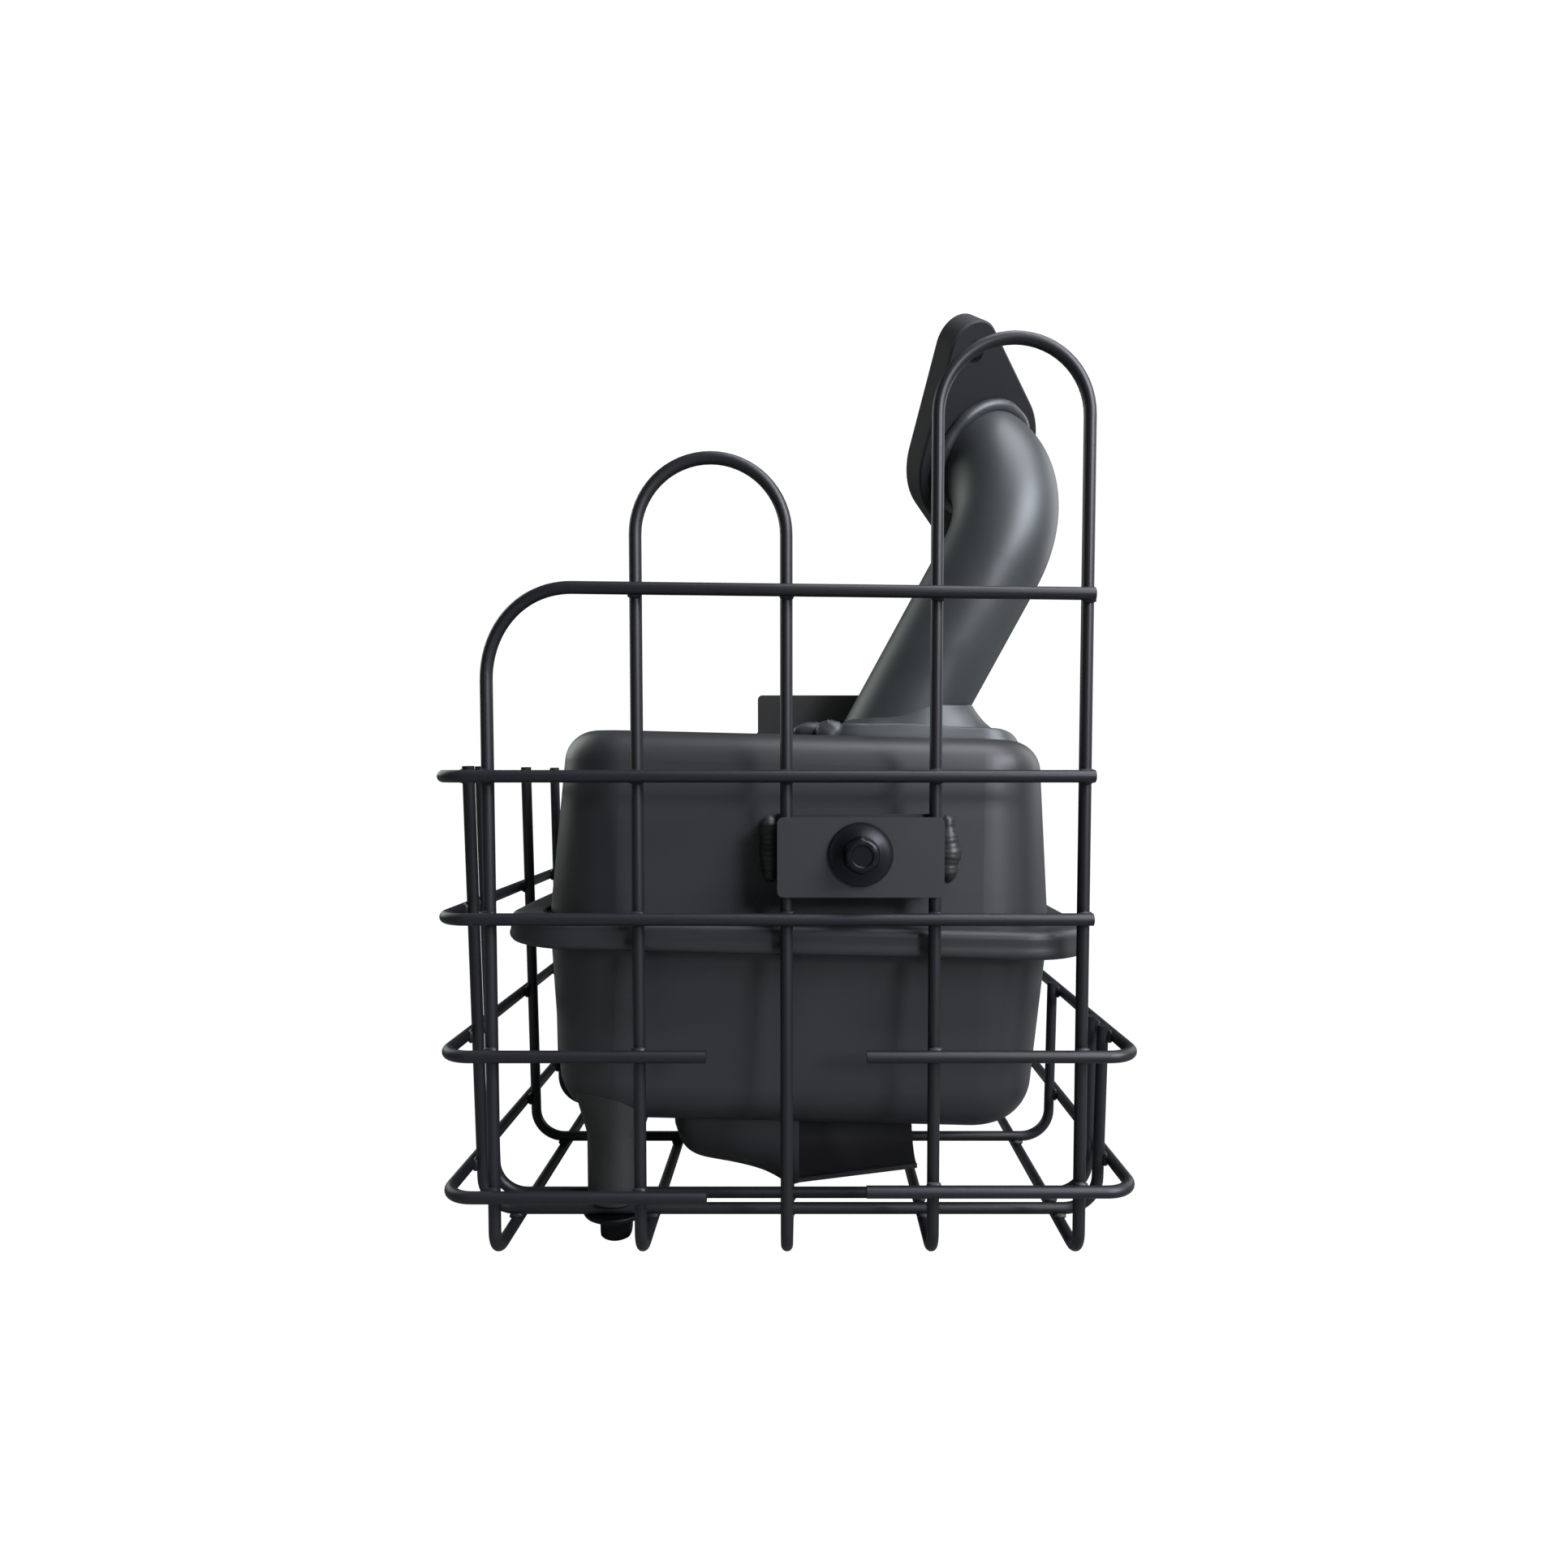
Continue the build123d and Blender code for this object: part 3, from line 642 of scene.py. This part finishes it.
def u_wire_crossings(uprights, r):
    """Where the U-wires cross the floor wires and the side rails. A U-wire's sides lean
    to the front by the depth of its box over its height."""
    floor_z = box_of("short_hoop")[0][2] + 2 * r
    for wire in U_WIRES:
        low, high = box_of(wire)
        y = high[1] - r
        for x in uprights:
            yield np.array([x, y, floor_z]), X_AXIS, Y_AXIS
        lean = (high[1] - low[1] - 2 * r) / (high[2] - low[2])
        for rail, side in SIDE_RAILS.items():
            z = box_of(rail)[0][2] + r
            x = (low, high)[side][0]
            yield np.array([x, y - lean * (z - low[2] - r), z]), Y_AXIS, Z_AXIS


def tab_crossings(uprights):
    """Where the bolted plate is welded to the two uprights behind it."""
    low, high = box_of("guard_tab")
    for x in uprights[2:4]:
        for z in (low[2] + TAB_WELD_INSET, high[2] - TAB_WELD_INSET):
            yield np.array([x, high[1], z]), X_AXIS, Z_AXIS


def weld_blob(centre, along, cross, reach, seed):
    """Fillet between two crossing wires: an ellipsoid flattened towards the gap, its
    radius stretched to a soft square so that its four corners fill the crotches."""
    rows, columns = 7, 16
    v = np.linspace(0, math.pi, rows)[1:-1, None]
    u = np.linspace(0, 2 * math.pi, columns, endpoint=False)[None, :]
    square = 1 / np.maximum(np.abs(np.cos(u)), np.abs(np.sin(u))) ** 0.55
    swell = 1 + 0.12 * wobble(seed, u, v)
    a = np.sin(v) * np.cos(u) * square * swell * reach
    b = np.sin(v) * np.sin(u) * square * swell * reach
    c = np.cos(v) * np.ones_like(u) * reach * 0.55
    normal = np.cross(along, cross)
    return centre + a[..., None] * along + b[..., None] * cross + c[..., None] * normal


def blobs_piece(name, blobs):
    """Many small closed blobs of the same grid joined in one mesh."""
    verts, faces, start = [], [], 0
    for rings in blobs:
        rings = capped(rings)
        faces += grid_faces(len(rings), rings.shape[1], start)
        start += rings.shape[0] * rings.shape[1]
        verts.append(rings.reshape(-1, 3))
    return add_mesh(name, np.concatenate(verts), faces)


def bead_rings(path, out, radius, ripple, seed, closed):
    """Weld bead: a circle of uneven radius carried along a path; ripples are a
    rectified cosine of the distance run, so that they look like laid scales."""
    step = np.linalg.norm(np.diff(path, axis=0, append=path[:1] if closed else path[-1:]), axis=1)
    run = np.concatenate([[0], np.cumsum(step)[:-1]])
    total = run[-1] + step[-1]
    phase = run / ripple * math.pi
    if closed:
        phase = phase * round(total / ripple) / (total / ripple)
    uneven = wobble(seed, run / total * (2 if closed else 0.7) * math.pi)
    scale = 1 + 0.05 * np.abs(np.cos(phase)) + 0.10 * uneven
    if not closed:
        end = np.minimum(run, total - run) / (2.2 * radius)
        scale = scale * np.sqrt(np.clip(end * (2 - np.minimum(end, 1)), 0.02, 1))
    if closed:
        ahead = np.roll(path, -1, axis=0) - np.roll(path, 1, axis=0)
    else:
        ahead = np.gradient(path, axis=0)
    ahead = ahead / np.linalg.norm(ahead, axis=1, keepdims=True)
    out = out - (out * ahead).sum(1, keepdims=True) * ahead
    out = out / np.linalg.norm(out, axis=1, keepdims=True)
    side = np.cross(ahead, out)
    v = np.linspace(0, 2 * math.pi, 14, endpoint=False)
    r = (radius * scale)[:, None, None]
    return (
        path[:, None, :]
        + r * np.cos(v)[None, :, None] * out[:, None, :]
        + r * np.sin(v)[None, :, None] * side[:, None, :]
    )


def hex_bolt_rings(origin, axis, rim, skirt, head, shank, hex_size):
    """Flange bolt as one surface of turning: each ring's radius is a circle blended
    into a hexagon, with the corners rounded off towards the top of the head."""
    side, up = across(axis)
    u = np.linspace(0, 2 * math.pi, 96, endpoint=False)
    flat = hex_size / 2 / np.cos((u + math.pi / 6) % (math.pi / 3) - math.pi / 6)
    hexagon = np.minimum(flat, hex_size / 2 * 1.125)
    h = hex_size / 2
    shank_r = SHANK_RADIUS
    top = skirt + head
    rows = [
        (-shank, shank_r * 0.8, 0), (-shank + 0.0009, shank_r, 0), (-0.0001, shank_r, 0),
        (0.0, shank_r + 0.0008, 0), (0.0, rim * 0.97, 0), (0.0003, rim, 0), (0.0011, rim, 0),
        (0.0016, rim * 0.975, 0), (skirt * 0.55, rim * 0.86, 0), (skirt * 0.82, rim * 0.70, 0),
        (skirt, h * 1.02, 0.3), (skirt + 0.0007, h * 0.96, 0.8), (top - 0.0022, h * 0.94, 0.85),
        (top - 0.0010, h * 0.93, 0.6), (top - 0.0003, h * 0.88, 0.2), (top, h * 0.80, 0),
        (top, h * 0.62, 0), (top - 0.0005, h * 0.54, 0), (top - 0.0005, h * 0.2, 0),
    ]
    rings = []
    for height, radius, share in rows:
        r = radius * (1 - share) + hexagon * (radius / h) * share
        rings.append(
            origin
            + height * axis
            + (r * np.cos(u))[:, None] * side
            + (r * np.sin(u))[:, None] * up
        )
    return np.array(rings)


def rounded_rectangle(half_x, half_y, radius, per_corner, per_side):
    """Outline of a rounded rectangle, counter-clockwise, with its outward normals."""
    points, normals = [], []
    for k, (sx, sy) in enumerate(((1, 1), (-1, 1), (-1, -1), (1, -1))):
        a = k * math.pi / 2 + np.linspace(0, math.pi / 2, per_corner)
        n = np.stack([np.cos(a), np.sin(a)], axis=1)
        c = np.array([sx * (half_x - radius), sy * (half_y - radius)])
        points.append(c + radius * n)
        normals.append(n)
        following = ((-1, 1), (-1, -1), (1, -1), (1, 1))[k]
        c2 = np.array([following[0] * (half_x - radius), following[1] * (half_y - radius)])
        w = np.linspace(0, 1, per_side + 2)[1:-1, None]
        start, stop = c + radius * n[-1], c2 + radius * n[-1]
        points.append(start * (1 - w) + stop * w)
        normals.append(np.repeat(n[-1:], per_side, axis=0))
    return np.concatenate(points), np.concatenate(normals)


def leaned(points, centre):
    """Turns points about Y by the body's lean, round the given centre."""
    angle = settings().hardware.body_lean
    x, y, z = np.moveaxis(points - centre, -1, 0)
    turned = [x * math.cos(angle) + z * math.sin(angle), y, z * math.cos(angle) - x * math.sin(angle)]
    return np.stack(turned, axis=-1) + centre


def seam_sections(low, high):
    """Rolled hem: a hooked profile carried round a rounded rectangle; its lower roll
    swells and its face dips a little by slow waves where the rolling tool paused."""
    centre = (low + high) / 2
    half = (high - low) / 2 - 0.1 * MM
    outline, normal = rounded_rectangle(half[0], half[1], HEM_CORNER, 20, 48)
    t = np.linspace(0, 2 * math.pi, len(outline), endpoint=False)
    profile = np.array(HEM_PROFILE) * MM
    face = (profile[:, 0] > -3 * MM)[None, :]
    out = profile[:, 0][None, :] + 0.15 * MM * wobble(5, t)[:, None] * face - 0.15 * MM
    z = centre[2] + profile[:, 1][None, :] + 0.12 * MM * wobble(9, t)[:, None]
    xy = outline[:, None, :] + out[..., None] * normal[:, None, :] + centre[:2]
    return leaned(np.concatenate([xy, z[..., None]], axis=2), centre)


def lumpy_bead(path, out, radius, seed, lumps, closed):
    """A bead whose radius also swells in broad lumps, as a hand weld's does."""
    turn = 2 * math.pi if closed else 0.8 * math.pi
    t = np.linspace(0, turn, len(path), endpoint=not closed)
    rings = bead_rings(path, out, radius, settings().hardware.ripple_pitch, seed, closed)
    swell = 1 + lumps * wobble(seed + 40, t)[:, None, None]
    return path[:, None, :] + (rings - path[:, None, :]) * swell


def shell_height(x, top, corner_x):
    """Height of the shell's top at a point: its leaning flat, then its rounded edge."""
    lean = settings().hardware.body_lean
    over = np.clip(x - corner_x, 0, SHELL_EDGE - 0.1 * MM)
    drop = SHELL_EDGE - np.sqrt(SHELL_EDGE ** 2 - over ** 2)
    return top - x * math.tan(lean) - drop


def ridge(distance, middle):
    """Bell curve across a ridge 1.3 mm wide that runs round at a distance from the edge."""
    return np.exp(-((distance - middle) / (1.3 * MM)) ** 2)


def saddle_sections(low, high, top, corner_x):
    """Welded saddle under the leaning pipe. Round the foot it climbs the pipe as
    height = climb * (1 - s)^2.6, and along its edge, which moves by a sum of sines,
    it has a wavy rolled ridge with a groove inside it and a quarter-round outer side."""
    hardware = settings().hardware
    lean = hardware.pipe_lean
    centre = (low + high) / 2
    outline, normal = rounded_rectangle(
        (high[0] - low[0]) / 2 - SADDLE_ROLL, (high[1] - low[1]) / 2 - 0.6 * MM, SADDLE_CORNER, 24, 16
    )
    t = np.linspace(0, 2 * math.pi, len(outline), endpoint=False)
    edge = outline + normal * (SADDLE_EDGE_WANDER * wobble(21, t))[:, None] + centre[:2]
    foot_x = centre[0] + hardware.foot_offset
    angle = np.arctan2(edge[:, 1] - centre[1], edge[:, 0] - foot_x)
    seat = hardware.pipe_radius - SEAT_IN_PIPE
    climb = hardware.climb * (1 + 0.12 * wobble(23, t))
    inner_z = top + climb
    shift = (inner_z - top) * math.tan(lean)
    inner = np.stack([
        foot_x + shift + seat / math.cos(lean) * np.cos(angle),
        centre[1] + seat * np.sin(angle),
    ], axis=1)
    reach = np.linalg.norm(edge - inner, axis=1)
    rows = []
    for out_share in 1 - np.linspace(1, 0, 30) ** 1.5:
        inward = (1 - out_share) * reach
        xy = inner * (1 - out_share) + edge * out_share
        z_shell = shell_height(xy[:, 0], top, corner_x)
        round_off = np.sqrt(1 - np.clip(1 - inward / SADDLE_ROLL, 0, 1) ** 2)
        lift = SADDLE_LIFT * (1 + 0.25 * wobble(29, t)) * round_off
        roll = SADDLE_ROLL_HEIGHT * ridge(inward, SADDLE_ROLL) * (1 + 0.6 * wobble(31, t))
        groove = SADDLE_GROOVE_DEPTH * ridge(inward, SADDLE_GROOVE) * (1 + 0.6 * wobble(33, t))
        z = z_shell + lift + roll - groove + (inner_z - z_shell - lift) * (1 - out_share) ** 2.6
        rows.append(np.stack([xy[:, 0], xy[:, 1], z], axis=1))
    for share, depth in ((1.0, 2.0), (0.6, 2.4), (0.0, 2.4)):
        xy = inner * (1 - share) + edge * share
        z_shell = shell_height(xy[:, 0], top, corner_x)
        rows.append(np.stack([xy[:, 0], xy[:, 1], z_shell - depth * MM], axis=1))
    return np.stack(rows, axis=1)


def lump(centre, size, seed):
    """Uneven ellipsoid of weld metal: its radius swells by a sum of sines."""
    v = np.linspace(0, math.pi, 14)[1:-1, None]
    u = np.linspace(0, 2 * math.pi, 24, endpoint=False)[None, :]
    swell = 1 + 0.16 * wobble(seed, u, v)
    ball = np.stack([np.sin(v) * np.cos(u), np.sin(v) * np.sin(u), np.cos(v) * np.ones_like(u)], -1)
    return np.asarray(centre) + ball * swell[..., None] * np.asarray(size)


# ---- stage parts ------------------------------------------------------------------
def floor_paper():
    """Pale matt paper that the camera sees burnt out to white."""
    paper = bpy.data.materials.new("floor_paper")
    paper.use_nodes = True
    t = Tree(paper.node_tree)
    shader = paper.node_tree.nodes["Principled BSDF"]
    shader.inputs["Base Color"].default_value = (*PAPER, 1)
    shader.inputs["Roughness"].default_value = 0.85
    shader.inputs["Specular IOR Level"].default_value = 0.1
    path = t.node("ShaderNodeLightPath")
    glow = t.node("ShaderNodeEmission", Color=(1, 1, 1, 1), Strength=PAPER_GLOW)
    share = t.math("MULTIPLY", path.outputs["Is Camera Ray"], PAPER_WHITE_SHARE)
    mix = t.node("ShaderNodeMixShader")
    t.join(share, mix.inputs[0])
    t.join(shader.outputs[0], mix.inputs[1])
    t.join(glow.outputs[0], mix.inputs[2])
    t.join(mix.outputs[0], paper.node_tree.nodes["Material Output"].inputs["Surface"])
    return paper


def soft_box(name, place, size, power, colour):
    """Square soft box that looks at the middle of the muffler."""
    data = bpy.data.lights.new(name, "AREA")
    data.size = size
    data.energy = power
    data.color = colour
    lamp = bpy.data.objects.new(name, data)
    bpy.context.collection.objects.link(lamp)
    lamp.location = place
    aim = LIGHT_AIM - Vector(place)
    lamp.rotation_euler = aim.to_track_quat("-Z", "Y").to_euler()


def white_room(scene):
    """White room to the camera, a dimmer one in reflections."""
    world = scene.world or bpy.data.worlds.new("room")
    scene.world = world
    world.use_nodes = True
    t = Tree(world.node_tree)
    world.node_tree.nodes.clear()
    out = t.node("ShaderNodeOutputWorld")
    path = t.node("ShaderNodeLightPath")
    seen = t.node("ShaderNodeBackground", Color=(1, 1, 1, 1), Strength=ROOM_WHITE)
    lit = t.node("ShaderNodeBackground", Color=(*ROOM_TINT, 1), Strength=ROOM_REFLECTED)
    mix = t.node("ShaderNodeMixShader")
    t.join(path.outputs["Is Camera Ray"], mix.inputs[0])
    t.join(lit.outputs[0], mix.inputs[1])
    t.join(seen.outputs[0], mix.inputs[2])
    t.join(mix.outputs[0], out.inputs["Surface"])


# ---- operators --------------------------------------------------------------------
class MUFFLER_OT_paint(bpy.types.Operator):
    """Give every CAD node the finish of its material slot"""

    bl_idname = "muffler.paint"
    bl_label = "Paint the frame"

    def execute(self, context):
        slots = {e["node"]: e["material_slot"] for e in frame["record"]["subparts"]}
        for name, node in frame["nodes"].items():
            material = slot_material("soot" if name == "outlet_tube" else slots[name])
            if not node.material_slots:
                node.data.materials.append(material)
            for place in node.material_slots:
                place.material = material
        return {"FINISHED"}


class MUFFLER_OT_wire_welds(bpy.types.Operator):
    """Weld fillets where the guard's wires cross"""

    bl_idname = "muffler.wire_welds"
    bl_label = "Wire welds"

    def execute(self, context):
        rail_low, rail_high = box_of("rail_upper")
        r = (rail_high[2] - rail_low[2]) / 2
        uprights = upright_places(r)
        crossings = [
            *front_crossings(uprights, r),
            *u_wire_crossings(uprights, r),
            *tab_crossings(uprights),
        ]
        reach = settings().hardware.weld_reach
        blobs = [weld_blob(*crossing, reach, seed) for seed, crossing in enumerate(crossings)]
        finish_piece(blobs_piece("wire_welds", blobs), "guard_wire")
        return {"FINISHED"}


class MUFFLER_OT_seam(bpy.types.Operator):
    """Rolled hem that closes the two pressed halves"""

    bl_idname = "muffler.seam"
    bl_label = "Rolled seam"

    def execute(self, context):
        low, high = box_of("seam_band")
        piece = ring_piece("rolled_seam", seam_sections(low, high), 60)
        finish_piece(piece, "shell_paint", "seam_band")
        return {"FINISHED"}


class MUFFLER_OT_saddle(bpy.types.Operator):
    """Welded saddle at the pipe's foot"""

    bl_idname = "muffler.saddle"
    bl_label = "Pipe saddle"

    def execute(self, context):
        low, high = box_of("pipe_base")
        shell_low, shell_high = box_of("upper_shell")
        lean = settings().hardware.body_lean
        middle_x = (shell_low[0] + shell_high[0]) / 2
        top = high[2] - SADDLE_RISE + middle_x * math.tan(lean)
        corner_x = middle_x + SHELL_FLAT_HALF
        piece = ring_piece("pipe_saddle", saddle_sections(low, high, top, corner_x), 70)
        finish_piece(piece, "pipe_paint", "pipe_base", "pipe_collar")
        start = np.array([low[0], low[1] + 3 * MM, top])
        blobs = [
            lump(start + np.array(offset) * MM, np.array(size) * MM, seed)
            for offset, size, seed in SADDLE_LUMPS
        ]
        beads = blobs_piece("saddle_weld", blobs)
        finish_piece(beads, "pipe_paint")
        return {"FINISHED"}


class MUFFLER_OT_beads(bpy.types.Operator):
    """Rippled weld beads of the port flange and of the front bracket"""

    bl_idname = "muffler.beads"
    bl_label = "Weld beads"

    def execute(self, context):
        hardware = settings().hardware
        place, axis = mount("port_bore")
        axis = unit(axis)
        side, up = across(axis)
        u = np.linspace(0, 2 * math.pi, 180, endpoint=False)[:, None]
        radial = np.cos(u) * side + np.sin(u) * up
        back = place - axis * FLANGE_BEAD_BACK
        path = back + radial * (hardware.pipe_radius + FLANGE_BEAD_CLEAR)
        rings = lumpy_bead(path, radial - axis * 0.6, hardware.bead_radius, 71, 0.24, True)
        piece = ring_piece("flange_bead", rings, 60)
        finish_piece(piece, "pipe_paint", "flange_weld")
        for k, node in enumerate(("bracket_weld_left", "bracket_weld_right")):
            low, high = box_of(node)
            z = np.linspace(low[2] + 1.0 * MM, high[2] - 1.0 * MM, BRACKET_BEAD_POINTS)
            t = np.linspace(0, 2 * math.pi, len(z))
            x = (low[0] + high[0]) / 2 + 0.5 * MM * wobble(81 + k, t / 3)
            path = np.stack([x, np.full(len(z), low[1] + BRACKET_BEAD_FRONT), z], axis=1)
            out = np.repeat([[0.0, -1.0, 0.0]], len(z), axis=0)
            rings = lumpy_bead(path, out, hardware.bead_radius * BRACKET_BEAD_GAIN, 83 + k, 0.30, False)
            piece = tube_piece(node.replace("weld", "bead"), rings, 60)
            finish_piece(piece, "bracket_paint", node)
        return {"FINISHED"}


class MUFFLER_OT_bolts(bpy.types.Operator):
    """Flange bolts of the guard and of the leg"""

    bl_idname = "muffler.bolts"
    bl_label = "Bolts"

    def execute(self, context):
        hex_size = settings().hardware.hex_size
        for node, axis in (("guard_bolt", (0, -1, 0)), ("leg_bolt", (0, 0, -1))):
            low, high = box_of(node)
            axis = np.array(axis, float)
            k = int(np.argmax(np.abs(axis)))
            rim = (high[0] - low[0]) / 2
            shank = SHANK_LENGTHS[node]
            origin = (low + high) / 2
            origin[k] = high[k] - shank
            rise = origin[k] - low[k]
            skirt = rise * SKIRT_SHARE
            rings = hex_bolt_rings(origin, axis, rim, skirt, rise - skirt, shank, hex_size)
            piece = tube_piece(node + "_turned", rings, 28)
            finish_piece(piece, "black_fastener", node)
        return {"FINISHED"}


class MUFFLER_OT_stage(bpy.types.Operator):
    """Pale floor, soft lights and the camera"""

    bl_idname = "muffler.stage"
    bl_label = "Stage"

    def execute(self, context):
        stage = settings().stage
        scene = context.scene
        half = stage.floor_size
        r = np.linspace(0, 1, stage.floor_rings)[:, None] ** 2 * half
        u = np.linspace(0, 2 * math.pi, FLOOR_SPOKES, endpoint=False)[None, :]
        disc = np.stack([r * np.cos(u), r * np.sin(u), np.zeros_like(r * u)], axis=-1)
        floor = add_mesh("floor", disc, grid_faces(stage.floor_rings, FLOOR_SPOKES))
        floor.data.materials.append(floor_paper())
        for name, place, size, power, colour in LIGHTS:
            soft_box(name, place, size, power, colour)
        white_room(scene)
        camera_data = bpy.data.cameras.new("camera")
        camera = bpy.data.objects.new("camera", camera_data)
        context.collection.objects.link(camera)
        camera.location = stage.camera_place
        camera.rotation_euler = (math.pi / 2 - stage.camera_dip, 0, 0)
        camera_data.lens = stage.lens
        camera_data.sensor_width = SENSOR_WIDTH
        camera_data.shift_x = stage.shift_x
        camera_data.shift_y = stage.shift_y
        camera_data.clip_start = NEAR_CLIP
        scene.camera = camera
        scene.view_settings.view_transform = "Standard"
        return {"FINISHED"}


class MUFFLER_PT_panel(bpy.types.Panel):
    """Sidebar panel with the muffler's steps"""

    bl_label = "Guarded Muffler"
    bl_idname = "MUFFLER_PT_panel"
    bl_space_type = "VIEW_3D"
    bl_region_type = "UI"
    bl_category = "Muffler"

    def draw(self, context):
        for step in STEPS:
            self.layout.operator(step.bl_idname)
        for group in (settings().finish, settings().hardware, settings().stage):
            box = self.layout.box()
            for name in group.__annotations__:
                box.prop(group, name)


STEPS = (
    MUFFLER_OT_paint,
    MUFFLER_OT_wire_welds,
    MUFFLER_OT_seam,
    MUFFLER_OT_saddle,
    MUFFLER_OT_beads,
    MUFFLER_OT_bolts,
    MUFFLER_OT_stage,
)
CLASSES = (FinishSettings, HardwareSettings, StageSettings, MufflerSettings, *STEPS, MUFFLER_PT_panel)


def register():
    for item in CLASSES:
        bpy.utils.register_class(item)
    bpy.types.Scene.muffler = PointerProperty(type=MufflerSettings)


def unregister():
    del bpy.types.Scene.muffler
    for item in reversed(CLASSES):
        bpy.utils.unregister_class(item)


def main():
    register()
    bpy.ops.muffler.paint()
    bpy.ops.muffler.wire_welds()
    bpy.ops.muffler.seam()
    bpy.ops.muffler.saddle()
    bpy.ops.muffler.beads()
    bpy.ops.muffler.bolts()
    bpy.ops.muffler.stage()


if __name__ == "__main__":
    main()
